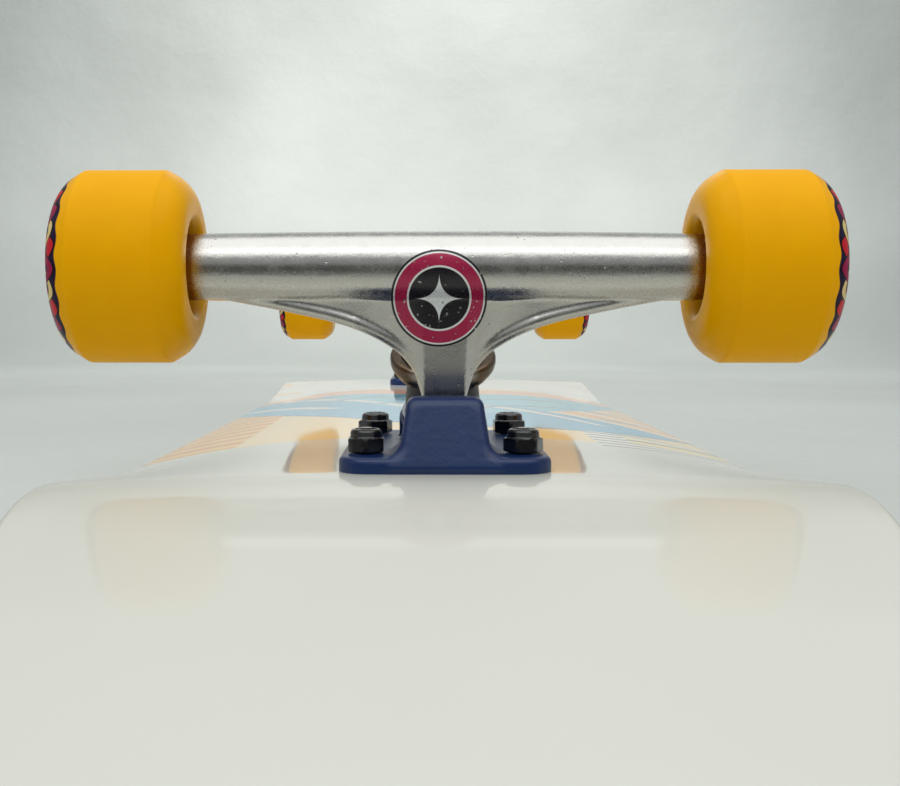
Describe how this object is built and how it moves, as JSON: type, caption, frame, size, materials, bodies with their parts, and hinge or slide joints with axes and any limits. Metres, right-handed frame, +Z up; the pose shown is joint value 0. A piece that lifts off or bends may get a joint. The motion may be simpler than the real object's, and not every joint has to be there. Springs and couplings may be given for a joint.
{
  "type": "skateboard",
  "caption": "Skateboard standing wheels up: concave wooden deck with two kicked ends, sprung steering trucks and rolling urethane wheels.",
  "frame": {"origin": "on the floor under the middle of the board, which lies wheels up as in the picture, on the tips of its nose and tail", "axes": "+Z up, +Y along the deck from the pictured front end to the rear, +X across the deck; turned 180 degrees about Y the board is ready to ride"},
  "size_m": [0.2084, 0.8118, 0.1415],
  "materials": {
    "deck_wood": "maple plies, white print under glossy clear lacquer",
    "grip_sheet": "black abrasive sheet",
    "baseplate_paint": "navy blue paint on cast aluminium, semi gloss",
    "cast_aluminium": "polished raw casting with fine pits",
    "bright_steel": "zinc plated and ground steel",
    "black_steel": "glossy black oxide",
    "yellow_urethane": "satin cast polyurethane, golden yellow",
    "black_urethane": "satin black polyurethane"
  },
  "bodies": {
    "board": {"deck": "deck_wood", "front_baseplate": "baseplate_paint", "front_kingpin": "bright_steel", "front_kingpin_nut": "bright_steel", "front_lower_bushing": "black_urethane", "front_lower_washer": "bright_steel", "front_mounting_bolt_1": "black_steel", "front_mounting_bolt_2": "black_steel", "front_mounting_bolt_3": "black_steel", "front_mounting_bolt_4": "black_steel", "front_mounting_nut_1": "black_steel", "front_mounting_nut_2": "black_steel", "front_mounting_nut_3": "black_steel", "front_mounting_nut_4": "black_steel", "front_pivot_cup": "black_urethane", "front_upper_bushing": "black_urethane", "front_upper_washer": "bright_steel", "grip_sheet": "grip_sheet", "rear_baseplate": "baseplate_paint", "rear_kingpin": "bright_steel", "rear_kingpin_nut": "bright_steel", "rear_lower_bushing": "black_urethane", "rear_lower_washer": "bright_steel", "rear_mounting_bolt_1": "black_steel", "rear_mounting_bolt_2": "black_steel", "rear_mounting_bolt_3": "black_steel", "rear_mounting_bolt_4": "black_steel", "rear_mounting_nut_1": "black_steel", "rear_mounting_nut_2": "black_steel", "rear_mounting_nut_3": "black_steel", "rear_mounting_nut_4": "black_steel", "rear_pivot_cup": "black_urethane", "rear_upper_bushing": "black_urethane", "rear_upper_washer": "bright_steel"},
    "front_hanger_body": {"front_axle": "bright_steel", "front_hanger": "cast_aluminium", "front_left_axle_nut": "bright_steel", "front_left_inner_speed_washer": "bright_steel", "front_left_outer_speed_washer": "bright_steel", "front_right_axle_nut": "bright_steel", "front_right_inner_speed_washer": "bright_steel", "front_right_outer_speed_washer": "bright_steel"},
    "rear_hanger_body": {"rear_axle": "bright_steel", "rear_hanger": "cast_aluminium", "rear_left_axle_nut": "bright_steel", "rear_left_inner_speed_washer": "bright_steel", "rear_left_outer_speed_washer": "bright_steel", "rear_right_axle_nut": "bright_steel", "rear_right_inner_speed_washer": "bright_steel", "rear_right_outer_speed_washer": "bright_steel"},
    "front_left_wheel_body": {"front_left_wheel": "yellow_urethane", "front_left_wheel_bearings": "bright_steel"},
    "front_right_wheel_body": {"front_right_wheel": "yellow_urethane", "front_right_wheel_bearings": "bright_steel"},
    "rear_left_wheel_body": {"rear_left_wheel": "yellow_urethane", "rear_left_wheel_bearings": "bright_steel"},
    "rear_right_wheel_body": {"rear_right_wheel": "yellow_urethane", "rear_right_wheel_bearings": "bright_steel"}
  },
  "joints": [
    {"name": "front_steering", "type": "hinge", "parent": "board", "child": "front_hanger_body", "pos_m": [0, -0.19799, 0.08906], "axis": [0, 0.9063, 0.4226], "range_deg": [-15, 15], "stiffness_Nm_per_rad": 14, "deforming": ["front_lower_bushing", "front_upper_bushing"]},
    {"name": "rear_steering", "type": "hinge", "parent": "board", "child": "rear_hanger_body", "pos_m": [0, 0.19799, 0.08906], "axis": [0, -0.9063, 0.4226], "range_deg": [-15, 15], "stiffness_Nm_per_rad": 14, "deforming": ["rear_lower_bushing", "rear_upper_bushing"]},
    {"name": "front_left_wheel_roll", "type": "hinge", "parent": "front_hanger_body", "child": "front_left_wheel_body", "pos_m": [-0.0836, -0.22799, 0.11601], "axis": [1, 0, 0], "continuous": true},
    {"name": "front_right_wheel_roll", "type": "hinge", "parent": "front_hanger_body", "child": "front_right_wheel_body", "pos_m": [0.0836, -0.22799, 0.11601], "axis": [1, 0, 0], "continuous": true},
    {"name": "rear_left_wheel_roll", "type": "hinge", "parent": "rear_hanger_body", "child": "rear_left_wheel_body", "pos_m": [-0.0836, 0.22799, 0.11601], "axis": [1, 0, 0], "continuous": true},
    {"name": "rear_right_wheel_roll", "type": "hinge", "parent": "rear_hanger_body", "child": "rear_right_wheel_body", "pos_m": [0.0836, 0.22799, 0.11601], "axis": [1, 0, 0], "continuous": true}
  ]
}
